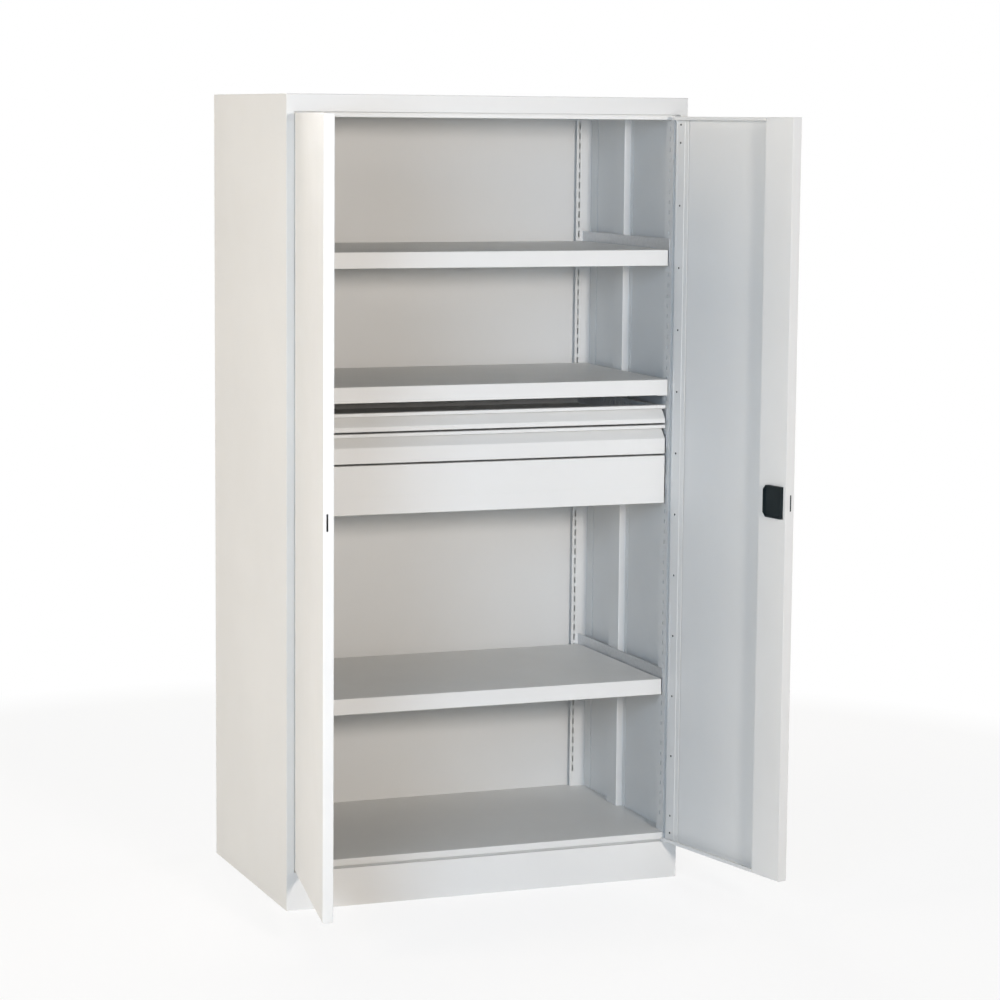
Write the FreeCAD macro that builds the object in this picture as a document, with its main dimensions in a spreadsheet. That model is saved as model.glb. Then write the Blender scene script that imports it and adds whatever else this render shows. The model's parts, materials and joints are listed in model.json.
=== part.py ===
import FreeCAD, Part
import Sketcher
import os
import re

os.makedirs("parts", exist_ok=True)
doc = FreeCAD.newDocument("heavy_duty_cabinet")

# Driving sizes in millimetres and degrees, one named value each.
# X runs to the right, Y to the back, Z up; the origin is on the floor under the middle of the carcass.
SIZES = {
    # carcass
    "width": 1000, "depth": 600, "height": 1900, "metal": 1.5,
    "band_height": 40, "plinth_height": 91, "stile_width": 19, "fold_depth": 24, "side_gap": 0.5,
    "rear_fold_width": 20, "foot_width": 25, "foot_inset": 30,
    "floor_height": 107, "beam_width": 60, "beam_thickness": 2, "beam_inset": 25,
    "rail_drop_height": 12, "rail_fold_width": 24,
    # posts with their rows of holes
    "post_inset": 24, "post_depth": 43, "post_return_width": 14,
    "hole_pitch": 25, "hole_margin": 40, "hole_width": 4, "hole_height": 10, "hole_inset": 20,
    "slot_width": 4, "slot_height": 16, "slot_inset": 36,
    "mid_post_offset": 28, "mid_post_width": 60, "mid_post_height": 20, "mid_post_foot_width": 15,
    "rear_post_gap": 18.5, "rear_post_width": 44, "rear_post_leg_width": 40,
    # doors
    "door_gap": 4, "door_thickness": 24, "stop_gap": 2, "door_lip_width": 8,
    "hinge_fold_depth": 5, "hinge_strip_width": 42, "lock_stile_width": 102, "lock_stile_foot_width": 14,
    "left_door_angle": 100, "right_door_angle": 101,
    # full-height hinges
    "hinge_groove_width": 9, "hinge_inset": 2.5, "hinge_margin": 3, "knuckle_radius": 3.5, "knuckle_gap": 0.4,
    "knuckle_count": 3, "leaf_thickness": 1, "leaf_width": 28, "leaf_depth": 20, "leaf_gap": 0.5,
    "pin_radius": 2, "pin_gap": 0.05,
    # lock in the right door
    "lock_height": 980, "shell_inset": 10, "shell_width": 68, "shell_height": 74, "shell_chamfer": 10,
    "shell_proud_depth": 7, "shell_gap": 0.3, "shell_floor_thickness": 5, "bezel_margin": 6,
    "bezel_thickness": 2, "recess_wall_thickness": 6, "pocket_wall_thickness": 2,
    "inner_rim_width": 3, "inner_pocket_depth": 3,
    "bolt_inset": 7.7, "bolt_thickness": 3.6, "bolt_height": 37.4, "bolt_length": 30, "bolt_gap": 0.2,
    "bolt_end_gap": 0.5, "bolt_back_gap": 1.5, "edge_slot_gap": 0.3, "bolt_travel_length": 8.4,
    "plug_inset": 11, "plug_radius": 7.5, "plug_gap": 0.05, "plug_proud_height": 0.5, "plug_end_gap": 0.4,
    "barrel_thickness": 1.5, "barrel_end_gap": 0.7, "barrel_rim_width": 2.5, "barrel_rim_height": 2,
    "cam_pin_radius": 1.5, "cam_pin_gap": 0.4, "cam_pin_end_gap": 0.3, "key_width": 1.6, "key_height": 7,
    "key_depth": 5,
    # units that slide
    "unit_gap": 6, "unit_inset": 10, "tray_end_gap": 19,
    "front_depth": 23.5, "front_foot_depth": 20, "front_lip_height": 8, "grip_height": 33,
    "grip_top_height": 9, "front_drop_height": 10, "tray_base_gap": 2, "tray_rim_width": 8,
    "shelf_height": 38, "shelf_fold_width": 12,
    # telescopic runners
    "runner_height": 30, "runner_thickness": 1.5, "runner_gap": 0.4, "runner_front_gap": 1.5,
    "runner_seat_inset": 14, "fixed_leg_width": 11.5, "mid_web_gap": 3, "mid_leg_width": 8,
    "inner_web_gap": 1.5, "inner_leg_width": 9, "mid_end_gap": 17.5,
    "shelf_runner_drop_height": 17.5, "shelf_runner_rise_height": 25,
    # heights of the fittings inside, from the top rail down
    "top_room_height": 310, "shelf_room_height": 275, "drawer_room_height": 22.5, "drawer_gap": 4.5,
    "middle_room_height": 435,
    "fixed_shelf_gap": 2, "fixed_shelf_inset": 8, "fixed_shelf_end_gap": 18.5,
    "bracket_width": 26, "bracket_height": 30,
    "drawer_1_height": 44, "drawer_1_runner_height": 19,
    "drawer_2_height": 70, "drawer_2_runner_height": 30.5,
    "drawer_3_height": 116, "drawer_3_runner_height": 51,
}

# Positions that follow from the sizes.
PLACES = {
    "front": "-depth / 2",
    "back": "depth / 2",
    "side": "width / 2",
    "wall": "width / 2 - metal",
    "skin": "front + metal",
    "stop": "front + door_thickness + stop_gap",
    "fold_end": "front + fold_depth",
    "band_low": "height - band_height",
    "rail_low": "band_low - rail_drop_height",
    "under_top": "height - metal",
    "under_floor": "floor_height - metal",
    "stile_edge": "side - stile_width",
    "post_face": "side - post_inset",
    "rear_post": "back - 2 * metal - rear_post_gap",
    "hole_low": "floor_height + hole_margin",
    "hole_count": "floor((under_top - hole_low - hole_margin) / hole_pitch) + 1",
    "hinge_x": "stile_edge - hinge_groove_width / 2",
    "hinge_y": "front + hinge_inset",
    "hinge_low": "plinth_height + door_gap + hinge_margin",
    "hinge_high": "band_low - door_gap - hinge_margin",
    "knuckle_pitch": "(hinge_high - hinge_low) / (2 * knuckle_count)",
    "leaf_face": "front + hinge_fold_depth",
    "door_edge": "stile_edge - hinge_groove_width",
    "door_meet": "door_gap / 2",
    "door_low": "plinth_height + door_gap",
    "door_high": "band_low - door_gap",
    "door_inner": "front + door_thickness",
    "shell_edge": "door_meet + shell_inset",
    "shell_far": "shell_edge + shell_width",
    "shell_low": "lock_height - shell_height / 2",
    "shell_high": "lock_height + shell_height / 2",
    "bezel_face": "front - bezel_thickness",
    "bolt_near": "front + bolt_inset",
    "bolt_far": "bolt_near + bolt_thickness",
    "bolt_end": "door_meet + bolt_end_gap",
    "bolt_tail": "bolt_end + bolt_length",
    "bolt_low": "lock_height - bolt_height / 2",
    "bolt_high": "lock_height + bolt_height / 2",
    "pocket_end": "bolt_tail + bolt_back_gap",
    "plug_x": "shell_edge + plug_inset",
    "plug_end": "bolt_near - plug_end_gap",
    "barrel_radius": "plug_radius + plug_gap + barrel_thickness",
    "barrel_face": "bezel_face - barrel_rim_height",
    "plug_face": "barrel_face - plug_proud_height",
    "cam_shift": "bolt_travel_length / 2",
    "cam_offset": "cam_shift / sin(45 deg)",
    "unit_half": "post_face - unit_gap",
    "unit_front": "stop + unit_inset",
    "tray_front": "unit_front + front_depth",
    "tray_back": "rear_post - tray_end_gap",
    "runner_start": "tray_front + runner_front_gap",
    "runner_seat": "stop + runner_seat_inset",
    "fixed_web": "post_face - runner_thickness",
    "mid_web": "fixed_web - mid_web_gap - runner_thickness",
    "inner_web": "mid_web - inner_web_gap - runner_thickness",
    "tray_half": "inner_web - inner_leg_width",
    "fixed_shelf_half": "post_face - fixed_shelf_gap",
    "upper_shelf_top": "rail_low - top_room_height",
    "fixed_shelf_top": "upper_shelf_top - shelf_height - shelf_room_height",
    "fixed_shelf_low": "fixed_shelf_top - shelf_height",
    "drawer_1_high": "fixed_shelf_low - metal - drawer_room_height",
    "drawer_1_low": "drawer_1_high - drawer_1_height",
    "drawer_2_high": "drawer_1_low - drawer_gap",
    "drawer_2_low": "drawer_2_high - drawer_2_height",
    "drawer_3_high": "drawer_2_low - drawer_gap",
    "drawer_3_low": "drawer_3_high - drawer_3_height",
    "lower_shelf_top": "drawer_3_low - middle_room_height",
}

sheet = doc.addObject("Spreadsheet::Sheet", "sizes")
for row, (name, value) in enumerate(SIZES.items(), start=1):
    sheet.set("A%d" % row, name)
    sheet.set("B%d" % row, str(value))
    sheet.setAlias("B%d" % row, name)
doc.recompute()


def formula(text):
    """Write a line of named sizes as an expression on the sheet."""
    def word(match):
        name = match.group(0)
        if name in PLACES:
            return "(" + formula(PLACES[name]) + ")"
        return "sizes." + name if name in SIZES else name
    return re.sub(r"[a-z][a-z0-9_]*", word, str(text))


def amount(text):
    """The number a line of named sizes stands for."""
    value = sheet.evalExpression(formula(text))
    return float(getattr(value, "Value", value))


def mirrored(side, text):
    """A distance to the right of the middle, or the same distance to the left."""
    return text if side == "right" else "-(%s)" % text


def new_body(label):
    body = doc.addObject("PartDesign::Body", label)
    body.Label = label
    return body


def new_sketch(body, plane, offset):
    """A sketch on one of the body's own planes, moved along the plane's normal."""
    sketch = body.newObject("Sketcher::SketchObject", body.Label + "_outline")
    support = [f for f in body.Origin.OriginFeatures if f.Role == plane][0]
    sketch.AttachmentSupport = [(support, "")]
    sketch.MapMode = "FlatFace"
    sketch.setExpression("AttachmentOffset.Base.z", formula(offset))
    return sketch


def pin_point(sketch, line, corner, point):
    """Tie one point of the sketch to its two named distances."""
    for kind, text in zip(("DistanceX", "DistanceY"), point):
        index = sketch.addConstraint(Sketcher.Constraint(kind, -1, 1, line, corner, amount(text)))
        sketch.setExpression("Constraints[%d]" % index, formula(text))


def polygon(sketch, points):
    first = sketch.GeometryCount
    count = len(points)
    spots = [FreeCAD.Vector(amount(u), amount(v), 0) for u, v in points]
    for i in range(count):
        sketch.addGeometry(Part.LineSegment(spots[i], spots[(i + 1) % count]))
    for i in range(count):
        sketch.addConstraint(Sketcher.Constraint("Coincident", first + i, 2, first + (i + 1) % count, 1))
    for i in range(count):
        pin_point(sketch, first + i, 1, points[i])


def circle(sketch, centre, radius):
    spot = FreeCAD.Vector(amount(centre[0]), amount(centre[1]), 0)
    line = sketch.addGeometry(Part.Circle(spot, FreeCAD.Vector(0, 0, 1), amount(radius)))
    index = sketch.addConstraint(Sketcher.Constraint("Radius", line, amount(radius)))
    sketch.setExpression("Constraints[%d]" % index, formula(radius))
    pin_point(sketch, line, 3, centre)


def pad(body, sketch, length):
    feature = body.newObject("PartDesign::Pad", body.Label + "_pad")
    feature.Profile = sketch
    feature.setExpression("Length", formula(length))
    body.Tip = feature
    return feature


def pocket(body, sketch, length, both_ways=False):
    """Cut against the sketch's normal, or as far to both sides."""
    feature = body.newObject("PartDesign::Pocket", body.Label + "_pocket")
    feature.Profile = sketch
    if both_ways:
        feature.SideType = "Symmetric"
    feature.setExpression("Length", formula(length))
    body.Tip = feature
    return feature


def row_of(body, features, pitch, count):
    """Repeat features upward."""
    axis = [f for f in body.Origin.OriginFeatures if f.Role == "Z_Axis"][0]
    pattern = body.newObject("PartDesign::LinearPattern", body.Label + "_row")
    pattern.Originals = features
    pattern.Direction = (axis, [""])
    pattern.setExpression("Length", formula("(%s) * (%s - 1)" % (pitch, count)))
    pattern.setExpression("Occurrences", formula(count))
    body.Tip = pattern
    return pattern


def upright(body, points, low, high):
    """Pad a plan outline, given as (x, y), from one height to another."""
    sketch = new_sketch(body, "XY_Plane", low)
    polygon(sketch, points)
    return pad(body, sketch, "(%s) - (%s)" % (high, low))


def crosswise(body, points, left, right):
    """Pad a side outline, given as (y, z), from one x to another."""
    sketch = new_sketch(body, "YZ_Plane", left)
    polygon(sketch, points)
    return pad(body, sketch, "(%s) - (%s)" % (right, left))


def block(body, x_range, y_range, z_range):
    (x0, x1), (y0, y1), (z0, z1) = x_range, y_range, z_range
    return upright(body, [(x0, y0), (x1, y0), (x1, y1), (x0, y1)], z0, z1)


def frame_ring(body, half, y_range, thick, z_range):
    """Pad a rectangular ring of upright walls."""
    y0, y1 = y_range
    inner = "%s - (%s)" % (half, thick)
    sketch = new_sketch(body, "XY_Plane", z_range[0])
    for reach, near, far in ((half, y0, y1), (inner, "%s + (%s)" % (y0, thick), "%s - (%s)" % (y1, thick))):
        polygon(sketch, [("-(%s)" % reach, near), (reach, near), (reach, far), ("-(%s)" % reach, far)])
    return pad(body, sketch, "(%s) - (%s)" % (z_range[1], z_range[0]))


def joined(label, members):
    """Several separate solids of one kind under one name."""
    group = doc.addObject("Part::Compound", label)
    group.Label = label
    group.Links = members
    return group


def swung(body, side):
    """Turn a piece drawn on the closed door to the angle the door stands open."""
    turn = -1 if side == "left" else 1
    body.Placement = FreeCAD.Placement(FreeCAD.Vector(), FreeCAD.Rotation(FreeCAD.Vector(0, 0, turn), 90))
    angle = "%d * %s_door_angle * 1 deg" % (turn, side)
    x, y = mirrored(side, "hinge_x"), "hinge_y"
    body.setExpression("Placement.Rotation.Angle", formula("%s_door_angle * 1 deg" % side))
    body.setExpression("Placement.Base.x",
                       formula("(%s) * (1 - cos(%s)) + %s * sin(%s)" % (x, angle, y, angle)))
    body.setExpression("Placement.Base.y",
                       formula("%s * (1 - cos(%s)) - (%s) * sin(%s)" % (y, angle, x, angle)))
    return body


nodes = []
SIDES = ("left", "right")

# Carcass: two folded side panels, a top with its front band, the plinth, the floor and the back.
for side in SIDES:
    panel = new_body("side_panel_" + side)
    upright(panel, [(mirrored(side, x), y) for x, y in (
        ("side", "skin"), ("side", "back"), ("side - rear_fold_width", "back"),
        ("side - rear_fold_width", "back - metal"), ("wall", "back - metal"), ("wall", "skin"))],
        "0", "under_top")
    upright(panel, [(mirrored(side, x), y) for x, y in (
        ("side", "front"), ("stile_edge", "front"), ("stile_edge", "fold_end"),
        ("stile_edge + metal", "fold_end"), ("stile_edge + metal", "skin"), ("side", "skin"))],
        "plinth_height", "band_low")
    block(panel, (mirrored(side, "wall"), mirrored(side, "side - foot_width")),
          ("front + foot_inset", "back - foot_inset"), ("0", "metal"))
    nodes.append(panel)

top = new_body("top_panel")
crosswise(top, [("front", "band_low"), ("front", "height"), ("back", "height"), ("back", "under_top"),
                ("skin", "under_top"), ("skin", "band_low")], "-side", "side")
block(top, ("-wall + side_gap", "wall - side_gap"), ("skin", "fold_end"), ("band_low", "band_low + metal"))
nodes.append(top)

rail = new_body("top_rail")
crosswise(rail, [("stop", "rail_low"), ("stop", "under_top"), ("stop + metal", "under_top"),
                 ("stop + metal", "rail_low + metal"),
                 ("stop + rail_fold_width", "rail_low + metal"), ("stop + rail_fold_width", "rail_low")],
          "-post_face", "post_face")
nodes.append(rail)

plinth = new_body("plinth_front")
block(plinth, ("-side", "side"), ("front", "skin"), ("0", "plinth_height"))
block(plinth, ("-wall + side_gap", "wall - side_gap"), ("skin", "stop + metal"),
      ("plinth_height - metal", "plinth_height"))
block(plinth, ("-side + foot_width", "side - foot_width"), ("skin", "fold_end"), ("0", "metal"))
nodes.append(plinth)

floor = new_body("floor_panel")
crosswise(floor, [("stop", "plinth_height"), ("stop", "floor_height"), ("back - 2 * metal", "floor_height"),
                  ("back - 2 * metal", "under_floor"), ("stop + metal", "under_floor"),
                  ("stop + metal", "plinth_height")], "-wall + side_gap", "wall - side_gap")
nodes.append(floor)

beam = new_body("floor_beam")
half, inner = "beam_width / 2", "(beam_width / 2 - beam_thickness)"
crosswise(beam, [("-" + half, "0"), (half, "0"), (half, "under_floor"), (inner, "under_floor"),
                 (inner, "beam_thickness"), ("-" + inner, "beam_thickness"), ("-" + inner, "under_floor"),
                 ("-" + half, "under_floor")], "beam_inset - side", "side - beam_inset")
nodes.append(beam)

rear = new_body("back_panel")
block(rear, ("side_gap - wall", "wall - side_gap"), ("back - 2 * metal", "back - metal"), ("0", "under_top"))
nodes.append(rear)

# Posts: channels inside the side panels, pierced in rows for the runners and shelf brackets.
for side in SIDES:
    post = new_body("front_post_" + side)
    end, turn = "stop + post_depth", "post_face + post_return_width"
    upright(post, [(mirrored(side, x), y) for x, y in (
        ("wall", "stop"), ("post_face", "stop"), ("post_face", end), (turn, end), (turn, end + " - metal"),
        ("post_face + metal", end + " - metal"), ("post_face + metal", "stop + metal"),
        ("wall", "stop + metal"))], "floor_height", "under_top")
    hole = new_sketch(post, "YZ_Plane", mirrored(side, "post_face"))
    near, far = "stop + hole_inset - hole_width / 2", "stop + hole_inset + hole_width / 2"
    polygon(hole, [(near, "hole_low"), (far, "hole_low"), (far, "hole_low + hole_height"),
                   (near, "hole_low + hole_height")])
    row_of(post, [pocket(post, hole, "4 * metal", True)], "hole_pitch", "hole_count")
    nodes.append(post)

for side in SIDES:
    post = new_body("mid_post_" + side)
    near, far = "mid_post_offset", "mid_post_offset + mid_post_width"
    near_foot, far_foot = near + " - mid_post_foot_width", far + " + mid_post_foot_width"
    crown = "side - mid_post_height"
    upright(post, [(mirrored(side, x), y) for x, y in (
        ("wall", near_foot), ("wall - metal", near_foot), ("wall - metal", near), (crown, near), (crown, far),
        ("wall - metal", far), ("wall - metal", far_foot), ("wall", far_foot), ("wall", far + " - metal"),
        (crown + " + metal", far + " - metal"), (crown + " + metal", near + " + metal"),
        ("wall", near + " + metal"))], "floor_height", "under_top")
    nodes.append(post)

for side in SIDES:
    post = new_body("rear_post_" + side)
    upright(post, [(mirrored(side, x), y) for x, y in (
        ("wall", "rear_post - rear_post_leg_width"), ("wall", "rear_post + metal"),
        ("side - rear_post_width", "rear_post + metal"), ("side - rear_post_width", "rear_post"),
        ("wall - metal", "rear_post"), ("wall - metal", "rear_post - rear_post_leg_width"))],
        "floor_height", "under_top")
    slot = new_sketch(post, "XZ_Plane", "-rear_post")
    inner, outer = "side - slot_inset - slot_width / 2", "side - slot_inset + slot_width / 2"
    polygon(slot, [(mirrored(side, x), z) for x, z in (
        (inner, "hole_low"), (outer, "hole_low"), (outer, "hole_low + slot_height"),
        (inner, "hole_low + slot_height"))])
    row_of(post, [pocket(post, slot, "4 * metal", True)], "hole_pitch", "hole_count")
    nodes.append(post)


# Full-height hinges: two interleaved leaves with rolled knuckles on one long pin.
def hinge_leaf(label, side, plate, strap, first):
    """A leaf plate with every second knuckle of the hinge; plate and strap are (x range, y range)."""
    leaf = new_body(label)
    block(leaf, [mirrored(side, x) for x in plate[0]], plate[1], ("hinge_low", "hinge_high"))
    low = "hinge_low + %d * knuckle_pitch + knuckle_gap / 2" % first
    tab = block(leaf, [mirrored(side, x) for x in strap[0]], strap[1],
                (low, low + " + knuckle_pitch - knuckle_gap"))
    roll = new_sketch(leaf, "XY_Plane", low)
    circle(roll, (mirrored(side, "hinge_x"), "hinge_y"), "knuckle_radius")
    knuckle = pad(leaf, roll, "knuckle_pitch - knuckle_gap")
    row_of(leaf, [tab, knuckle], "2 * knuckle_pitch", "knuckle_count")
    bore = new_sketch(leaf, "XY_Plane", "hinge_high")
    circle(bore, (mirrored(side, "hinge_x"), "hinge_y"), "pin_radius + pin_gap")
    pocket(leaf, bore, "hinge_high - hinge_low")
    return leaf


for side in SIDES:
    rim = "hinge_x + knuckle_radius"
    nodes.append(hinge_leaf(
        "hinge_leaf_" + side, side,
        ((rim, "stile_edge"), ("hinge_y + knuckle_radius + leaf_gap", "hinge_y + leaf_depth")),
        ((rim + " - leaf_thickness", "stile_edge"), ("hinge_y", "hinge_y + knuckle_radius + leaf_gap")), 1))
    pin = doc.addObject("Part::Cylinder", "hinge_pin_" + side)
    pin.setExpression("Radius", formula("pin_radius"))
    pin.setExpression("Height", formula("hinge_high - hinge_low"))
    pin.setExpression("Placement.Base.x", formula(mirrored(side, "hinge_x")))
    pin.setExpression("Placement.Base.y", formula("hinge_y"))
    pin.setExpression("Placement.Base.z", formula("hinge_low"))
    nodes.append(pin)

# Doors, drawn closed and turned open: a skin folded shallow at the hinge and deep on the other
# three sides, with a closed stile for the lock behind the free edge.
for side in SIDES:
    skin = new_body(side + "_door_skin")
    upright(skin, [(mirrored(side, x), y) for x, y in (
        ("door_edge", "front"), ("door_meet", "front"), ("door_meet", "door_inner - metal"),
        ("door_meet + metal", "door_inner - metal"), ("door_meet + metal", "skin"),
        ("door_edge - metal", "skin"), ("door_edge - metal", "leaf_face - metal"),
        ("door_edge - hinge_strip_width", "leaf_face - metal"),
        ("door_edge - hinge_strip_width", "leaf_face"), ("door_edge", "leaf_face"))],
        "door_low", "door_high")
    for low, high, lip_low, lip_high in (
            ("door_low", "door_low + metal", "door_low", "door_low + door_lip_width"),
            ("door_high - metal", "door_high", "door_high - door_lip_width", "door_high")):
        block(skin, (mirrored(side, "door_meet"), mirrored(side, "door_edge")),
              ("front + metal / 2", "door_inner - metal"), (low, high))
        block(skin, (mirrored(side, "door_meet + lock_stile_width + side_gap"), mirrored(side, "door_edge")),
              ("door_inner - metal", "door_inner"), (lip_low, lip_high))
    edge = new_sketch(skin, "YZ_Plane", mirrored(side, "door_meet"))
    near, far = "bolt_near - bolt_gap", "bolt_far + bolt_gap"
    low, high = "bolt_low - edge_slot_gap", "bolt_high + edge_slot_gap"
    polygon(edge, [(near, low), (far, low), (far, high), (near, high)])
    pocket(skin, edge, "8 * metal", True)

    stile = new_body(side + "_door_lock_stile")
    end = "door_meet + lock_stile_width"
    upright(stile, [(mirrored(side, x), y) for x, y in (
        ("door_meet", "door_inner - metal"), ("door_meet", "door_inner"), (end, "door_inner"),
        (end, "skin + metal"), (end + " + lock_stile_foot_width", "skin + metal"),
        (end + " + lock_stile_foot_width", "skin"),
        (end + " - metal", "skin"), (end + " - metal", "door_inner - metal"))],
        "door_low + metal", "door_high - metal")

    leaf = hinge_leaf(
        side + "_door_hinge_leaf", side,
        (("door_edge - leaf_width", "hinge_x - knuckle_radius - leaf_gap"),
         ("leaf_face", "leaf_face + leaf_thickness")),
        (("hinge_x - knuckle_radius - leaf_gap", "hinge_x"),
         ("leaf_face", "leaf_face + leaf_thickness")), 0)

    if side == "right":
        # The shell of the lock passes through the skin and the stile.
        def shell_outline(play):
            low, high = "shell_low - " + play, "shell_high + " + play
            return [("shell_edge - " + play, low), ("shell_far - shell_chamfer", low),
                    ("shell_far + " + play, "shell_low + shell_chamfer"),
                    ("shell_far + " + play, "shell_high - shell_chamfer"),
                    ("shell_far - shell_chamfer", high), ("shell_edge - " + play, high)]
        for plate in (skin, stile):
            window = new_sketch(plate, "XZ_Plane", "-skin" if plate is skin else "-door_inner")
            polygon(window, shell_outline("shell_gap"))
            pocket(plate, window, "4 * metal", True)

    for piece in (skin, stile, leaf):
        nodes.append(swung(piece, side))

# Lock of the right door: a grip recess, a lock barrel with its plug, and a flat latch bolt.
shell = new_body("grip_shell")
outline = new_sketch(shell, "XZ_Plane", "-(door_inner + shell_proud_depth)")
polygon(outline, shell_outline("0"))
pad(shell, outline, "door_thickness + shell_proud_depth")
block(shell, ("shell_edge - bezel_margin", "shell_far + bezel_margin"), ("bezel_face", "front"),
      ("shell_low - bezel_margin", "shell_high + bezel_margin"))
recess = new_sketch(shell, "XZ_Plane", "-bezel_face")
low, high = "shell_low + recess_wall_thickness", "shell_high - recess_wall_thickness"
near, far = "pocket_end + pocket_wall_thickness", "shell_far - recess_wall_thickness"
polygon(recess, [(near, low), (far, low), (far, high), (near, high)])
pocket(shell, recess, "bezel_thickness + door_thickness + shell_proud_depth - shell_floor_thickness")
tray = new_sketch(shell, "XZ_Plane", "-(door_inner + shell_proud_depth)")
polygon(tray, shell_outline("(-inner_rim_width)"))
pocket(shell, tray, "2 * inner_pocket_depth", True)
channel = new_sketch(shell, "YZ_Plane", "pocket_end")
near, far = "bolt_near - bolt_gap", "bolt_far + bolt_gap"
low, high = "bolt_low - edge_slot_gap", "bolt_high + edge_slot_gap"
polygon(channel, [(near, low), (far, low), (far, high), (near, high)])
pocket(shell, channel, "pocket_end - shell_edge + metal")
seat = new_sketch(shell, "XZ_Plane", "-bezel_face")
circle(seat, ("plug_x", "lock_height"), "barrel_radius + plug_gap")
pocket(shell, seat, "bezel_thickness + bolt_inset")

barrel = new_body("lock_barrel")
tube = new_sketch(barrel, "XZ_Plane", "-(bolt_near - barrel_end_gap)")
circle(tube, ("plug_x", "lock_height"), "barrel_radius")
pad(barrel, tube, "bolt_near - barrel_end_gap - bezel_face")
rim = new_sketch(barrel, "XZ_Plane", "-bezel_face")
circle(rim, ("plug_x", "lock_height"), "barrel_radius + barrel_rim_width")
pad(barrel, rim, "barrel_rim_height")
bore = new_sketch(barrel, "XZ_Plane", "-barrel_face")
circle(bore, ("plug_x", "lock_height"), "plug_radius + plug_gap")
pocket(barrel, bore, "bolt_near - barrel_face")

plug = new_body("lock_plug")
core = new_sketch(plug, "XZ_Plane", "-plug_end")
circle(core, ("plug_x", "lock_height"), "plug_radius")
pad(plug, core, "plug_end - plug_face")
cam = new_sketch(plug, "XZ_Plane", "-(bolt_far - cam_pin_end_gap)")
circle(cam, ("plug_x + cam_shift", "lock_height + cam_shift"), "cam_pin_radius")
pad(plug, cam, "bolt_far - cam_pin_end_gap - plug_end")
key = new_sketch(plug, "XZ_Plane", "-plug_face")
low, high = "lock_height - key_height / 2", "lock_height + key_height / 2"
near, far = "plug_x - key_width / 2", "plug_x + key_width / 2"
polygon(key, [(near, low), (far, low), (far, high), (near, high)])
pocket(plug, key, "key_depth")

bolt = new_body("latch_bolt")
block(bolt, ("bolt_end", "bolt_tail"), ("bolt_near", "bolt_far"), ("bolt_low", "bolt_high"))
guide = new_sketch(bolt, "XZ_Plane", "-bolt_far")
reach = "(cam_pin_radius + cam_pin_gap)"
near, far = "plug_x + cam_shift - " + reach, "plug_x + cam_shift + " + reach
low, high = "lock_height + cam_shift - " + reach, "lock_height + cam_offset + " + reach
polygon(guide, [(near, low), (far, low), (far, high), (near, high)])
pocket(bolt, guide, "4 * bolt_thickness", True)

for piece in (shell, barrel, plug, bolt):
    nodes.append(swung(piece, "right"))


# Telescopic runners: a fixed channel on the posts, a middle channel at half the travel, a slide on the unit.
def channel_pair(label, centre, height, web, leg, start, end):
    """A channel on each side, open towards the middle."""
    pair = []
    low, high = "%s - (%s) / 2" % (centre, height), "%s + (%s) / 2" % (centre, height)
    reach = "%s - %s" % (web, leg)
    for side in SIDES:
        member = new_body("%s_%s" % (label, side))
        section = new_sketch(member, "XZ_Plane", "-(%s)" % end)
        polygon(section, [(mirrored(side, x), z) for x, z in (
            (web + " + runner_thickness", low), (web + " + runner_thickness", high), (reach, high),
            (reach, high + " - runner_thickness"), (web, high + " - runner_thickness"),
            (web, low + " + runner_thickness"), (reach, low + " + runner_thickness"), (reach, low))])
        pad(member, section, "(%s) - (%s)" % (end, start))
        pair.append(member)
    return pair


def runner_set(unit, centre, web_high):
    """Fixed runners, middle members and slides of one unit."""
    fixed = channel_pair(unit + "_runners", centre, "runner_height", "fixed_web", "fixed_leg_width",
                         "runner_start", "rear_post")
    for side, member in zip(SIDES, fixed):
        block(member, (mirrored(side, "fixed_web"), mirrored(side, "post_face")),
              ("runner_seat", "rear_post"), (centre + " - runner_height / 2", web_high))
    nodes.append(joined(unit + "_runners", fixed))
    step = "2 * (runner_thickness + runner_gap)"
    nodes.append(joined(unit + "_mid_slides", channel_pair(
        unit + "_mid_slides", centre, "runner_height - " + step, "mid_web", "mid_leg_width",
        "runner_start", "rear_post - mid_end_gap")))
    nodes.append(joined(unit + "_slides", channel_pair(
        unit + "_slides", centre, "runner_height - 2 * " + step, "inner_web", "inner_leg_width",
        "runner_start", "tray_back")))


# Shelves: one fixed on brackets, two that pull out, each a pan with folded edges.
shelf = new_body("fixed_shelf")
shelf_range = ("stop + fixed_shelf_inset", "rear_post - fixed_shelf_end_gap")
low, high = "fixed_shelf_low", "fixed_shelf_top"
frame_ring(shelf, "fixed_shelf_half", shelf_range, "metal", (low, high + " - metal / 2"))
block(shelf, ("-fixed_shelf_half", "fixed_shelf_half"), shelf_range, (high + " - metal", high))
frame_ring(shelf, "fixed_shelf_half", shelf_range, "shelf_fold_width", (low, low + " + metal"))
nodes.append(shelf)

brackets = []
for side in SIDES:
    bracket = new_body("fixed_shelf_brackets_" + side)
    section = new_sketch(bracket, "XZ_Plane", "-rear_post")
    polygon(section, [(mirrored(side, x), z) for x, z in (
        ("post_face", low + " - metal"), ("post_face", low + " + bracket_height"),
        ("post_face - metal", low + " + bracket_height"), ("post_face - metal", low),
        ("post_face - bracket_width", low), ("post_face - bracket_width", low + " - metal"))])
    pad(bracket, section, "rear_post - runner_seat")
    brackets.append(bracket)
nodes.append(joined("fixed_shelf_brackets", brackets))

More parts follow.
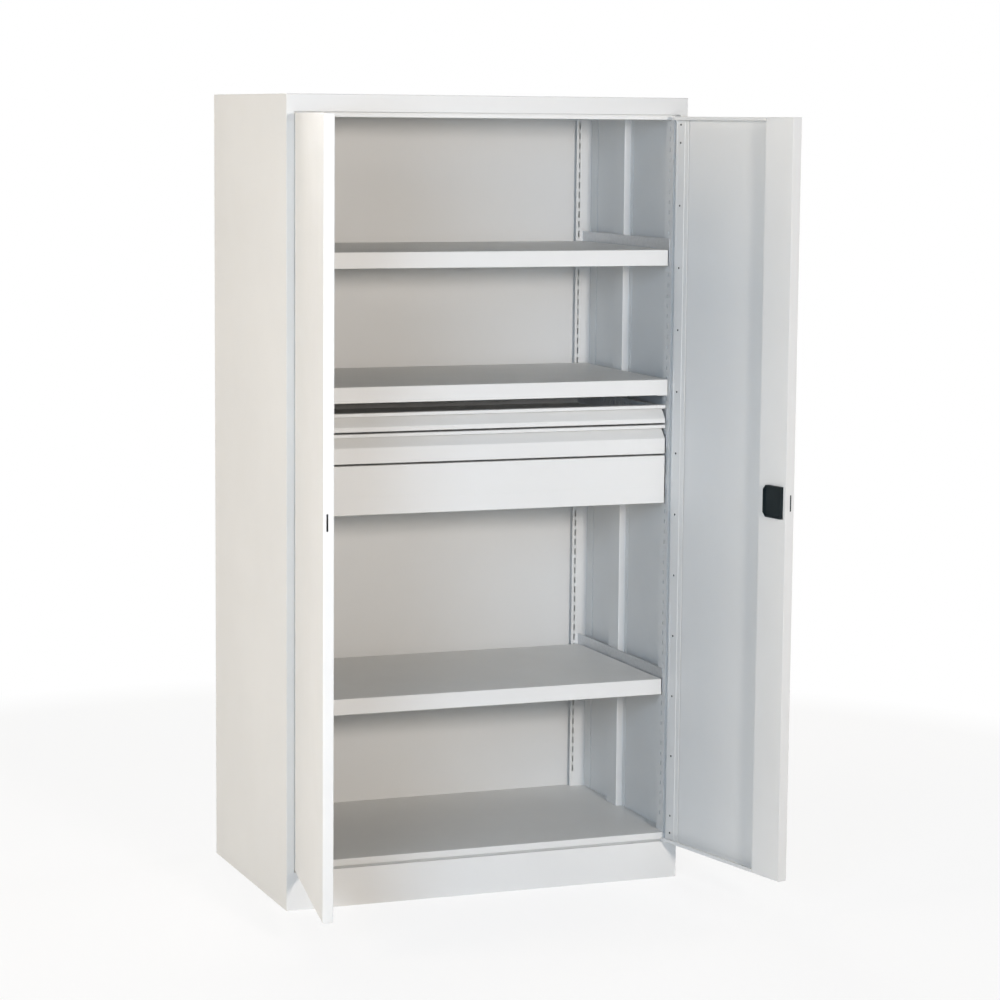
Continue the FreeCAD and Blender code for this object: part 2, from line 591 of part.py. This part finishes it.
for unit in ("upper_shelf", "lower_shelf"):
    high = unit + "_top"
    low = high + " - shelf_height"
    pan = new_body(unit)
    pan_range = ("unit_front + metal / 2", "tray_back")
    block(pan, ("-unit_half", "unit_half"), ("unit_front", "unit_front + metal"), (low, high))
    block(pan, ("-unit_half", "unit_half"), pan_range, (high + " - metal", high))
    frame_ring(pan, "tray_half", pan_range, "metal", (low, high + " - metal / 2"))
    frame_ring(pan, "tray_half", pan_range, "shelf_fold_width", (low, low + " + metal"))
    nodes.append(pan)
    runner_set(unit, high + " - shelf_runner_drop_height", high + " + shelf_runner_rise_height")

# Drawers: an open tray with a rim and a folded front; the two upper fronts have a grip groove under
# a lip, the deep one is plain.
for unit in ("drawer_1", "drawer_2", "drawer_3"):
    low, high = unit + "_low", unit + "_high"
    tray = new_body(unit + "_tray")
    tray_range = ("tray_front", "tray_back")
    base = low + " + tray_base_gap"
    block(tray, ("-tray_half", "tray_half"), tray_range, (base, base + " + metal"))
    frame_ring(tray, "tray_half", tray_range, "metal", (base + " + metal / 2", high + " - metal"))
    frame_ring(tray, "tray_half", tray_range, "tray_rim_width", (high + " - 2 * metal", high + " - metal"))
    nodes.append(tray)

    face = new_body(unit + "_front")
    near, deep = "unit_front", "tray_front"
    foot = [(near + " + metal", low + " + metal"), (near + " + front_foot_depth", low + " + metal"),
            (near + " + front_foot_depth", low), (near, low)]
    if unit == "drawer_3":
        outline = [(near, high), (deep, high), (deep, high + " - front_drop_height"),
                   (deep + " - metal", high + " - front_drop_height"), (deep + " - metal", high + " - metal"),
                   (near + " + metal", high + " - metal")]
        cap = [(near, low), (near, high), (deep, high), (deep, low)]
    else:
        grip, crest = high + " - grip_height", high + " - grip_top_height"
        outline = [(near, grip), (deep + " - metal", crest), (deep + " - metal", high + " - metal"),
                   (near + " + metal", high + " - metal"), (near + " + metal", high + " - front_lip_height"),
                   (near, high + " - front_lip_height"), (near, high), (deep, high),
                   (deep, high + " - front_drop_height"), (near + " + metal", grip + " - metal")]
        cap = [(near, low), (near, grip), (deep + " - metal", crest), (deep, crest), (deep, low)]
    crosswise(face, outline + foot, "-unit_half", "unit_half")
    crosswise(face, cap, "-unit_half", "metal - unit_half")
    crosswise(face, cap, "unit_half - metal", "unit_half")
    nodes.append(face)
    centre = "%s + %s_runner_height" % (low, unit)
    runner_set(unit, centre, centre + " + runner_height / 2")

doc.recompute()

# Every piece must have come out sound before it is written.
for item in doc.Objects:
    if "Invalid" in item.State or "Error" in item.State:
        raise RuntimeError("%s did not build: %s" % (item.Label, item.State))
for node in nodes:
    shape = node.Shape
    if shape.isNull() or not shape.isValid() or not shape.Solids:
        raise RuntimeError(node.Label + " has no sound shape")
    shape.exportStep("parts/%s.step" % node.Label)
print("pieces written:", len(nodes))
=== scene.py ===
import bmesh
import bpy
import json
import math
from mathutils import Matrix, Vector
from mathutils.geometry import intersect_point_line


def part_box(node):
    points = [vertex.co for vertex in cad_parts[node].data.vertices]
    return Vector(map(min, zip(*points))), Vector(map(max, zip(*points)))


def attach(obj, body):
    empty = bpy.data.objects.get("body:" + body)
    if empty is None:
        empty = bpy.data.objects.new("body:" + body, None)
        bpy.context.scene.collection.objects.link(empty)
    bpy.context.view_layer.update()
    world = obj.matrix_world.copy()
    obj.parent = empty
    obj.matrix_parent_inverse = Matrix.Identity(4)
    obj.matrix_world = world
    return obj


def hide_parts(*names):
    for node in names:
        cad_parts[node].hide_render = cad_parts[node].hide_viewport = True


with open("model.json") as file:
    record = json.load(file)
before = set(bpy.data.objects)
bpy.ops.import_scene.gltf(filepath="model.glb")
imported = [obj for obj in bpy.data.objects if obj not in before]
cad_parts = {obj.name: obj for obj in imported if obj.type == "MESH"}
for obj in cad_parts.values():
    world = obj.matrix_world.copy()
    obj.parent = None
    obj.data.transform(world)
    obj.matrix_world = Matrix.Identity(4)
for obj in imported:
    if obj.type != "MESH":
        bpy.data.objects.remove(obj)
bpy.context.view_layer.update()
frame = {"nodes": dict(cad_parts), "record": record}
nodes = frame["nodes"]
scene = bpy.context.scene
scene.view_settings.view_transform = "Standard"

# Viewpoint: a long lens in front of the cabinet and to its left, at the height of its top, looking
# slightly down. Angles are in radians, places in metres, the lens and the film in millimetres.
lens_yaw = 0.3711
lens_pitch = -0.1259
lens_roll = 0.0088
lens_place = Vector((-2.5295, -6.8716, 1.8444))
lens_length = 108.09
film_width = 36
ahead = Vector((math.sin(lens_yaw) * math.cos(lens_pitch), math.cos(lens_yaw) * math.cos(lens_pitch),
                math.sin(lens_pitch)))
level = Vector((math.cos(lens_yaw), -math.sin(lens_yaw), 0))
above = level.cross(ahead)
across = level * math.cos(lens_roll) + above * math.sin(lens_roll)
upward = above * math.cos(lens_roll) - level * math.sin(lens_roll)
camera = bpy.data.objects.new("viewpoint", bpy.data.cameras.new("viewpoint"))
camera.data.sensor_width = film_width
camera.data.lens = lens_length
camera.matrix_world = Matrix.Translation(lens_place) @ Matrix((across, upward, -ahead)).transposed().to_4x4()
scene.collection.objects.link(camera)
scene.camera = camera

# Studio: a pale floor that fades to white in a white surround. A warm key lamp stands in front with a
# cool fill to its left; reflectors light the two sides, and softboxes the back and the top.
class Line:
    """One socket in a node tree; sums and products of lines add Math nodes."""

    def __init__(self, tree, socket=None):
        self.tree = tree
        self.socket = socket

    def feed(self, slot, value):
        """Set a socket's value, or link the line or lines that give it."""
        for item in value if isinstance(value, list) else [value]:
            if isinstance(item, Line):
                self.tree.links.new(item.socket, slot)
            else:
                slot.default_value = item

    def node(self, kind, settings=None, sockets=None, output=0):
        """Any node: its type, its settings, then values or lines for its sockets."""
        made = self.tree.nodes.new(kind)
        for name, value in (settings or {}).items():
            setattr(made, name, value)
        for name, value in (sockets or {}).items():
            self.feed(made.inputs[name], value)
        return Line(self.tree, made.outputs[output] if made.outputs else None)

    def math(self, operation, first, second=0.0):
        return self.node("ShaderNodeMath", {"operation": operation}, {0: first, 1: second})

    def __add__(self, other):
        return self.math("ADD", self, other)

    def __radd__(self, other):
        return self.math("ADD", other, self)

    def __sub__(self, other):
        return self.math("SUBTRACT", self, other)

    def __rsub__(self, other):
        return self.math("SUBTRACT", other, self)

    def __mul__(self, other):
        return self.math("MULTIPLY", self, other)

    def __rmul__(self, other):
        return self.math("MULTIPLY", other, self)

    def __truediv__(self, other):
        return self.math("DIVIDE", self, other)

    def __rtruediv__(self, other):
        return self.math("DIVIDE", other, self)

    def span(self, low, high):
        """Spread the values between low and high over 0 to 1."""
        return self.node("ShaderNodeMapRange", None, {"Value": self, "From Min": low, "From Max": high})

    def blend(self, first, second):
        """A colour between two colours."""
        return self.node("ShaderNodeMix", {"data_type": "RGBA"}, {0: self, 6: first, 7: second}, 2)

def rays_seen(start):
    """One for the rays that see the background directly, in a gloss or through glass."""
    direct, glossy, through = [start.node("ShaderNodeLightPath", output=kind) for kind in (
        "Is Camera Ray", "Is Glossy Ray", "Is Transmission Ray")]
    return start.math("MINIMUM", direct + glossy + through, 1.0)

pure_white = (1, 1, 1, 1)
floor_tone = (0.96, 0.96, 0.96, 1)
floor_reach = 40
fade_start = 0.8
fade_end = 2.6
white_share = 0.82
floor_mesh = bpy.data.meshes.new("studio_floor")
floor_mesh.from_pydata([(-floor_reach, -floor_reach, 0), (floor_reach, -floor_reach, 0),
                        (floor_reach, floor_reach, 0), (-floor_reach, floor_reach, 0)], [], [(0, 1, 2, 3)])
floor = bpy.data.objects.new("studio_floor", floor_mesh)
scene.collection.objects.link(floor)
floor_paint = bpy.data.materials.new("pale_floor")
floor_paint.use_nodes = True
floor_paint.node_tree.nodes.clear()
spot = Line(floor_paint.node_tree).node("ShaderNodeTexCoord", output="Object")
away = spot.node("ShaderNodeVectorMath", {"operation": "LENGTH"}, {0: spot}, "Value")
matt = spot.node("ShaderNodeBsdfDiffuse", None, {"Color": floor_tone})
glow = spot.node("ShaderNodeEmission", None, {"Color": pure_white, "Strength": 1.0})
whiten = rays_seen(spot) * spot.math("MAXIMUM", away.span(fade_start, fade_end), white_share)
mixed = spot.node("ShaderNodeMixShader", None, {0: whiten, 1: matt, 2: glow})
spot.node("ShaderNodeOutputMaterial", None, {"Surface": mixed})
floor_mesh.materials.append(floor_paint)

for name, place, aim, size, colour, watts in (
        ("key_lamp", (0.1, -6.3, 2.1), (0, 0, 1.0), 0.7, (1.0, 0.925, 0.87), 180),
        ("front_fill", (-3.5, -4.9, 2.0), (0.2, 0, 1.0), 2.0, (0.63, 0.79, 1.0), 138),
        ("left_reflector", (-4.6, -0.9, 2.2), (-0.5, 0, 1.1), 2.4, (1.0, 0.85, 0.67), 104),
        ("right_reflector", (4.6, 0.8, 2.1), (0.5, 0, 1.0), 2.4, (1.0, 0.97, 0.93), 70),
        ("rear_softbox", (0.4, 5.4, 2.4), (0, 0.3, 1.0), 2.4, (1.0, 0.98, 0.95), 120),
        ("overhead_softbox", (0.0, 0.2, 4.6), (0, 0.1, 1.9), 2.6, (1.0, 0.99, 0.97), 20)):
    lamp = bpy.data.lights.new(name, "AREA")
    lamp.shape = "DISK"
    lamp.size = size
    lamp.color = colour
    lamp.energy = watts
    holder = bpy.data.objects.new(name, lamp)
    holder.location = place
    holder.rotation_euler = (Vector(aim) - Vector(place)).to_track_quat("-Z", "Y").to_euler()
    scene.collection.objects.link(holder)

surround_tone = (0.76, 0.89, 1.0, 1)
surround_strength = 0.07
world = bpy.data.worlds.new("studio")
world.use_nodes = True
world.node_tree.nodes.clear()
scene.world = world
sky = Line(world.node_tree)
ambient = sky.node("ShaderNodeBackground", None, {"Color": surround_tone, "Strength": surround_strength})
white = sky.node("ShaderNodeBackground", None, {"Color": pure_white, "Strength": 1.0})
both = sky.node("ShaderNodeMixShader", None, {0: rays_seen(sky), 1: ambient, 2: white})
sky.node("ShaderNodeOutputWorld", None, {"Surface": both})

# Carcass: the side panels, top, plinth, floor and back are folded from sheet steel, welded, and coated
# with light grey powder. The folds are rounded and the baked coat has a fine orange peel.
def new_finish(name):
    """A finish without colour yet: its shader, and the place on the piece that its patterns read."""
    finish = bpy.data.materials.new(name)
    finish.use_nodes = True
    tree = finish.node_tree
    place = Line(tree).node("ShaderNodeTexCoord", output="Object")
    return finish, tree.nodes["Principled BSDF"].inputs, place

def noise(place, scale, detail=3.0):
    return place.node("ShaderNodeTexNoise", None, {"Vector": place, "Scale": scale, "Detail": detail})

drift_scale = 2.4
smear_scale = 11.0
peel_scale = 620.0
peel_strength = 0.16
peel_depth = 0.0004
coat_roughness = 0.40
smear_roughness = 0.10
coat_shine = 0.45

def powder_coat(name, dull, bright):
    """A baked coat: its tone drifts slowly, its gloss is a little smeared and its skin is orange peel."""
    finish, shader, place = new_finish(name)
    drift = noise(place, drift_scale).span(0.3, 0.7)
    smear = noise(place, smear_scale, 4.0).span(0.3, 0.75)
    peel = noise(place, peel_scale, 2.0)
    place.feed(shader["Base Color"], drift.blend(dull, bright))
    place.feed(shader["Roughness"], coat_roughness + smear_roughness * smear)
    place.feed(shader["Normal"], place.node(
        "ShaderNodeBump", None, {"Strength": peel_strength, "Distance": peel_depth, "Height": peel}))
    shader["Specular IOR Level"].default_value = coat_shine
    return finish

grey_coat = powder_coat("grey_powder_coat", (0.706, 0.704, 0.684, 1), (0.742, 0.740, 0.718, 1))
body_of = {}
for body, members in frame["record"]["behaviour"]["bodies"].items():
    for member in members:
        body_of[member] = body
fold_radius = 0.0016
fold_steps = 2
edge_share = 0.36
flat_angle = math.radians(1)
fold_angle = math.radians(25)
corner_gap = 1e-6

def new_piece(name, mesh):
    piece = bpy.data.objects.new(name, mesh)
    scene.collection.objects.link(piece)
    return piece

def made_mesh(piece):
    """The plain mesh that a piece's modifiers give."""
    return bpy.data.meshes.new_from_object(piece.evaluated_get(bpy.context.evaluated_depsgraph_get()))

def room_beside(edge, face):
    """How far the face reaches from an edge before it comes to an edge that doesn't meet it."""
    gaps = [2 * face.calc_area() / edge.calc_length()]
    for other in face.edges:
        if set(other.verts) & set(edge.verts):
            continue
        for one, two in ((edge, other), (other, edge)):
            middle = (one.verts[0].co + one.verts[1].co) / 2
            start, end = (corner.co for corner in two.verts)
            share = intersect_point_line(middle, start, end)[1]
            gaps.append((start.lerp(end, min(1, max(0, share))) - middle).length)
    return min(gaps)

def folded_sheet(node, finish, radius=fold_radius):
    """A piece like the node's solid, with its folds rounded and its cut edges broken."""
    shape = bmesh.new()
    shape.from_mesh(nodes[node].data)
    bmesh.ops.remove_doubles(shape, verts=shape.verts, dist=corner_gap)
    bmesh.ops.dissolve_limit(shape, angle_limit=flat_angle, verts=shape.verts, edges=shape.edges)
    weight = shape.edges.layers.float.new("bevel_weight_edge")
    for edge in shape.edges:
        if len(edge.link_faces) == 2 and edge.calc_face_angle(0) > fold_angle:
            room = min(room_beside(edge, face) for face in edge.link_faces)
            edge[weight] = min(1.0, edge_share * room / radius)
    mesh = bpy.data.meshes.new(node + "_sharp")
    shape.to_mesh(mesh)
    shape.free()
    if "custom_normal" in mesh.attributes:
        mesh.attributes.remove(mesh.attributes["custom_normal"])
    piece = new_piece(node + "_sheet", mesh)
    bevel = piece.modifiers.new("rounded_folds", "BEVEL")
    bevel.limit_method = "WEIGHT"
    bevel.width = radius
    bevel.segments = fold_steps
    made = made_mesh(piece)
    made.name = piece.name
    piece.modifiers.clear()
    piece.data = made
    made.materials.clear()
    made.materials.append(finish)
    made.shade_flat()
    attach(piece, body_of[node])
    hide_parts(node)

for node in ("side_panel_left", "side_panel_right", "top_panel", "top_rail", "plinth_front", "floor_panel",
             "floor_beam", "back_panel"):
    folded_sheet(node, grey_coat)

# Posts: channels welded inside the side panels, the front and rear ones pierced in rows for hooks.
# They have the coat of the carcass.
def coated(node, finish):
    """The solid as it is, with a better finish."""
    for slot in nodes[node].material_slots:
        slot.material = finish

for side in ("left", "right"):
    folded_sheet("mid_post_" + side, grey_coat)
    coated("front_post_" + side, grey_coat)
    coated("rear_post_" + side, grey_coat)

# Hinges: two leaves of steel strip with rolled knuckles, coated with the carcass and the door they
# are welded to, on a long pin of bright drawn steel.
streak_roughness = 0.2

def bare_metal(name, grain, dull, bright, roughness):
    """Metal whose tone and gloss are streaked; grain is how fine the streaks are along X, Y and Z."""
    finish, shader, place = new_finish(name)
    streak = noise(place.node("ShaderNodeMapping", None, {"Vector": place, "Scale": grain}), 1.0)
    place.feed(shader["Base Color"], streak.blend(dull, bright))
    place.feed(shader["Roughness"], roughness + streak_roughness * streak)
    shader["Metallic"].default_value = 1.0
    return finish

pin_steel = bare_metal("drawn_steel", (900.0, 900.0, 12.0),
                       (0.55, 0.55, 0.55, 1), (0.72, 0.72, 0.71, 1), 0.22)
for side in ("left", "right"):
    coated("hinge_leaf_" + side, grey_coat)
    coated(side + "_door_hinge_leaf", grey_coat)
    coated("hinge_pin_" + side, pin_steel)

# Doors: one folded skin each, shallow at the hinge and deep on the other sides, with a closed stile
# behind the free edge. A row of dark rivets holds the hinge leaf.
for side in ("left", "right"):
    folded_sheet(side + "_door_skin", grey_coat)
    folded_sheet(side + "_door_lock_stile", grey_coat)

black_steel = bare_metal("blackened_steel", (400.0, 400.0, 400.0),
                         (0.020, 0.022, 0.025, 1), (0.055, 0.058, 0.062, 1), 0.38)

def new_pattern(name, inputs):
    """An empty node tree for repeated shapes, with named inputs: the lines that come from them."""
    tree = bpy.data.node_groups.new(name, "GeometryNodeTree")
    tree.is_modifier = True
    kinds = {int: "NodeSocketInt", float: "NodeSocketFloat", tuple: "NodeSocketVector",
             bpy.types.Material: "NodeSocketMaterial"}
    for title, kind in inputs.items():
        tree.interface.new_socket(title, in_out="INPUT", socket_type=kinds[kind])
    tree.interface.new_socket("Geometry", in_out="OUTPUT", socket_type="NodeSocketGeometry")
    return {title: Line(tree).node("NodeGroupInput", output=title) for title in inputs}

def close_pattern(shape, finish):
    """Real faces with their finish at the end of a tree."""
    solid = shape.node("GeometryNodeRealizeInstances", None, {"Geometry": shape})
    finished = shape.node("GeometryNodeSetMaterial", None, {"Geometry": solid, "Material": finish})
    shape.node("NodeGroupOutput", None, {"Geometry": finished})
    return shape.tree

def repeated(pattern, values):
    """The mesh that a pattern gives for these values."""
    seed = new_piece("seed", bpy.data.meshes.new("seed"))
    modifier = seed.modifiers.new("repeated", "NODES")
    modifier.node_group = pattern
    for item in pattern.interface.items_tree:
        if item.in_out == "INPUT":
            modifier[item.identifier] = values[item.name]
    mesh = made_mesh(seed)
    bpy.data.objects.remove(seed)
    return mesh

def joined(name, meshes, finish):
    """One piece from several placed meshes of one finish."""
    shape = bmesh.new()
    for mesh in meshes:
        shape.from_mesh(mesh)
        bpy.data.meshes.remove(mesh)
    whole = bpy.data.meshes.new(name)
    shape.to_mesh(whole)
    shape.free()
    whole.materials.append(finish)
    return new_piece(name, whole)

head = new_pattern("row_of_heads", {
    "Count": int, "First": tuple, "Step": tuple, "Turn": tuple, "Sides": int, "Foot Radius": float,
    "Crown Radius": float, "Rise": float, "Finish": bpy.types.Material})
cap = head["Sides"].node("GeometryNodeMeshCone", None, {
    "Vertices": head["Sides"], "Radius Bottom": head["Foot Radius"], "Radius Top": head["Crown Radius"],
    "Depth": head["Rise"]})
row = head["Count"].node("GeometryNodeMeshLine", {"mode": "OFFSET"}, {
    "Count": head["Count"], "Start Location": head["First"], "Offset": head["Step"]})
row_of_heads = close_pattern(row.node("GeometryNodeInstanceOnPoints", None, {
    "Points": row, "Instance": cap, "Rotation": head["Turn"]}), head["Finish"])

door_angle = {"left": math.radians(-100), "right": math.radians(101)}
leaf_face = 0.0035
rivet_reach = 0.016
rivet_margin = 0.016
rivet_pair = 0.043
rivet_pitch = 0.155
rivet_radius = 0.0027
rivet_crown = 0.6 * rivet_radius
rivet_rise = 0.0009
rivet_sides = 14
for side, way in (("left", 1), ("right", -1)):
    pin_low, pin_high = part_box("hinge_pin_" + side)
    turn = Matrix.Rotation(door_angle[side], 3, "Z")
    face = turn @ Vector((way * rivet_reach, leaf_face, 0))
    outward = turn @ Vector((0, 1, 0))
    stand = Vector(((pin_low[0] + pin_high[0]) / 2 + face.x, (pin_low[1] + pin_high[1]) / 2 + face.y, 0))
    low = pin_low[2] + rivet_margin
    high = pin_high[2] - rivet_margin
    run = high - low - 2 * rivet_pair
    steps = round(run / rivet_pitch)
    rows = []
    for count, first, step in ((steps + 1, low + rivet_pair, run / steps), (2, low, high - low)):
        rows.append(repeated(row_of_heads, {
            "Count": count, "First": (stand.x, stand.y, first), "Step": (0, 0, step),
            "Turn": (0, math.pi / 2, math.atan2(outward.y, outward.x)), "Sides": rivet_sides,
            "Foot Radius": rivet_radius, "Crown Radius": rivet_crown, "Rise": rivet_rise,
            "Finish": black_steel}))
    rivets = joined(side + "_door_rivets", rows, black_steel)
    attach(rivets, side + "_door")

# Lock: a moulded black shell with a grip recess outside, let into the right door. It holds a plated
# barrel and plug; the flat steel bolt slides in it.
shell_radius = 0.001
shell_grain_scale = 1400.0
shell_grain_strength = 0.35
shell_grain_depth = 0.0002
shell_shine = 0.22
dust_scale = 40.0

def moulded_plastic(name, clean, dusty):
    """Plastic with the fine grain of its mould and a little dust."""
    finish, shader, place = new_finish(name)
    grain = place.node("ShaderNodeTexVoronoi", {"feature": "F1"},
                       {"Vector": place, "Scale": shell_grain_scale}, "Distance")
    dust = noise(place, dust_scale, 4.0)
    place.feed(shader["Base Color"], dust.span(0.35, 0.75).blend(clean, dusty))
    place.feed(shader["Roughness"], 0.36 + 0.16 * dust)
    place.feed(shader["Normal"], place.node("ShaderNodeBump", None, {
        "Strength": shell_grain_strength, "Distance": shell_grain_depth, "Height": grain}))
    shader["Specular IOR Level"].default_value = shell_shine
    return finish

black_plastic = moulded_plastic("moulded_black", (0.003, 0.008, 0.010, 1), (0.007, 0.014, 0.017, 1))
folded_sheet("grip_shell", black_plastic, shell_radius)
nickel = bare_metal("nickel_plate", (300.0, 300.0, 300.0),
                    (0.60, 0.60, 0.58, 1), (0.74, 0.73, 0.70, 1), 0.14)
for node in ("lock_barrel", "lock_plug"):
    coated(node, nickel)
coated("latch_bolt", black_steel)

# Shelves: pans of sheet steel with folded edges, coated with the same grey powder as the carcass.
# The middle one lies on angle brackets, and the other two pull out on runners.
for node in ("fixed_shelf", "upper_shelf", "lower_shelf"):
    folded_sheet(node, grey_coat)
coated("fixed_shelf_brackets", grey_coat)

# Drawers: welded trays whose side and back walls are pierced with a row of slots for dividers, and
# folded fronts. The deep front carries a faint row of pips.
wall = new_pattern("slotted_wall", {
    "Length": float, "Height": float, "Slots": int, "Margin": float, "Pitch": float, "Slot Width": float,
    "Slot Low": float, "Slot High": float, "Thickness": float, "Finish": bpy.types.Material})
rows_of_points = 4
bands = 3
edge_gap = 1e-5
flat = wall["Slots"].node("GeometryNodeMeshGrid", None, {
    "Vertices X": wall["Slots"] * 2 + 2, "Vertices Y": rows_of_points})
index = flat.node("GeometryNodeInputIndex")
column = flat.math("FLOOR", index / rows_of_points)
level_of_point = index - column * rows_of_points
inner = column - 1
slot_number = flat.math("FLOOR", inner / 2)
slot_side = inner - slot_number * 2
along = wall["Margin"] + slot_number * wall["Pitch"] + slot_side * wall["Slot Width"]
at_start = flat.math("COMPARE", column, 0)
at_end = flat.math("COMPARE", column, wall["Slots"] * 2 + 1)
along = (1 - at_start) * (1 - at_end) * along + at_end * wall["Length"]
rise = (flat.math("COMPARE", level_of_point, 1) * wall["Slot Low"]
        + flat.math("COMPARE", level_of_point, 2) * wall["Slot High"]
        + flat.math("COMPARE", level_of_point, 3) * wall["Height"])
spread = flat.node("GeometryNodeSetPosition", None, {
    "Geometry": flat, "Position": flat.node("ShaderNodeCombineXYZ", None, {"X": along, "Z": rise})})
strip = flat.math("FLOOR", index / bands)
odd_strip = strip - flat.math("FLOOR", strip / 2) * 2
pierced = flat.math("COMPARE", index - strip * bands, 1) * odd_strip
sheet = flat.node("GeometryNodeDeleteGeometry", {"domain": "FACE"}, {
    "Geometry": spread, "Selection": pierced})
thick = flat.node("GeometryNodeExtrudeMesh", {"mode": "FACES"}, {
    "Mesh": sheet, "Offset Scale": wall["Thickness"], "Individual": False})
back = flat.node("GeometryNodeFlipFaces", None, {"Mesh": sheet})
shell = flat.node("GeometryNodeJoinGeometry", None, {"Geometry": [thick, back]})
closed = flat.node("GeometryNodeMergeByDistance", None, {"Geometry": shell, "Distance": edge_gap})
slotted_wall = close_pattern(closed, wall["Finish"])
broken_edge = 0.0003

def flat_plate(low, high):
    """A plate between two corners with its edges broken."""
    shape = bmesh.new()
    bmesh.ops.create_cube(shape, size=1)
    low, high = Vector(low), Vector(high)
    for corner in shape.verts:
        corner.co = low + Vector(((high - low)[i] * (corner.co[i] + 0.5) for i in range(3)))
    bmesh.ops.bevel(shape, geom=shape.edges, offset=broken_edge, segments=1, affect="EDGES")
    mesh = bpy.data.meshes.new("plate")
    shape.to_mesh(mesh)
    shape.free()
    return mesh

sheet_thickness = 0.0015
rim_width = 0.008
slot_pitch = 0.014
slot_width = 0.006
slot_height = 0.015
slot_drop = 0.010
for unit in ("drawer_1", "drawer_2", "drawer_3"):
    low, high = (Vector(corner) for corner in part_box(unit + "_tray"))
    deep = high.y - low.y
    tall = high.z - low.z
    inside = (low.x + sheet_thickness, high.x - sheet_thickness)
    behind_front = low.y + sheet_thickness
    before_back = high.y - sheet_thickness
    sheets = []
    for length, place, angle in ((deep, (high.x, high.y), -90), (deep, (low.x, low.y), 90),
                                 (high.x - low.x - 2 * sheet_thickness, (inside[0], high.y), 0)):
        count = int((length - 2 * slot_pitch) / slot_pitch)
        pierced_wall = repeated(slotted_wall, {
            "Length": length, "Height": tall, "Slots": count, "Pitch": slot_pitch,
            "Margin": (length - (count - 1) * slot_pitch - slot_width) / 2, "Slot Width": slot_width,
            "Slot Low": tall - slot_drop - slot_height, "Slot High": tall - slot_drop,
            "Thickness": sheet_thickness, "Finish": grey_coat})
        turn = Matrix.Rotation(math.radians(angle), 4, "Z")
        pierced_wall.transform(Matrix.Translation((*place, low.z)) @ turn)
        sheets.append(pierced_wall)
    rim = high.z - sheet_thickness
    for near, far in (
            ((inside[0], low.y, low.z), (inside[1], behind_front, high.z)),
            ((inside[0], behind_front, low.z), (inside[1], before_back, low.z + sheet_thickness)),
            ((inside[0], behind_front, rim), (inside[1], low.y + rim_width, high.z)),
            ((inside[0], high.y - rim_width, rim), (inside[1], before_back, high.z)),
            ((inside[0], low.y + rim_width, rim), (low.x + rim_width, high.y - rim_width, high.z)),
            ((high.x - rim_width, low.y + rim_width, rim), (inside[1], high.y - rim_width, high.z))):
        sheets.append(flat_plate(near, far))
    tray = joined(unit + "_slotted_tray", sheets, grey_coat)
    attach(tray, unit)
    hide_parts(unit + "_tray")
    folded_sheet(unit + "_front", grey_coat)

pip_pitch = 0.0086
pip_radius = 0.0016
pip_crown = 0.5 * pip_radius
pip_rise = 0.0005
pip_sides = 8
pip_height = 0.041
pips_left_out = 4
front_low, front_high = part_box("drawer_3_front")
pip_count = int((front_high[0] - front_low[0]) / pip_pitch) - pips_left_out
pip_start = (front_low[0] + front_high[0] - (pip_count - 1) * pip_pitch) / 2
pips = joined("drawer_3_pips", [repeated(row_of_heads, {
    "Count": pip_count, "First": (pip_start, front_low[1], front_low[2] + pip_height),
    "Step": (pip_pitch, 0, 0), "Turn": (math.pi / 2, 0, 0), "Sides": pip_sides, "Foot Radius": pip_radius,
    "Crown Radius": pip_crown, "Rise": pip_rise, "Finish": grey_coat})], grey_coat)
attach(pips, "drawer_3")

# Runners: three nested channels of zinc-plated strip on each side, one fixed, one at half the travel
# and one on the drawer or shelf.
spangle_scale = 160.0
haze_scale = 24.0
spangle_share = 0.6
zinc_metal = 0.85

def zinc_plate(name, dull, bright):
    """Plated strip: the spangle of the zinc under a light haze."""
    finish, shader, place = new_finish(name)
    flower = place.node("ShaderNodeTexVoronoi", {"feature": "F1"},
                        {"Vector": place, "Scale": spangle_scale}, "Color")
    spangle = place.node("ShaderNodeSeparateColor", None, {"Color": flower}, "Red")
    haze = noise(place, haze_scale, 4.0)
    tone = spangle * spangle_share + haze * (1 - spangle_share)
    place.feed(shader["Base Color"], tone.blend(dull, bright))
    place.feed(shader["Roughness"], 0.38 + 0.10 * haze)
    shader["Metallic"].default_value = zinc_metal
    return finish

zinc = zinc_plate("zinc_plate", (0.62, 0.64, 0.66, 1), (0.70, 0.72, 0.74, 1))
for unit in ("upper_shelf", "drawer_1", "drawer_2", "drawer_3", "lower_shelf"):
    for member in ("_runners", "_mid_slides", "_slides"):
        coated(unit + member, zinc)
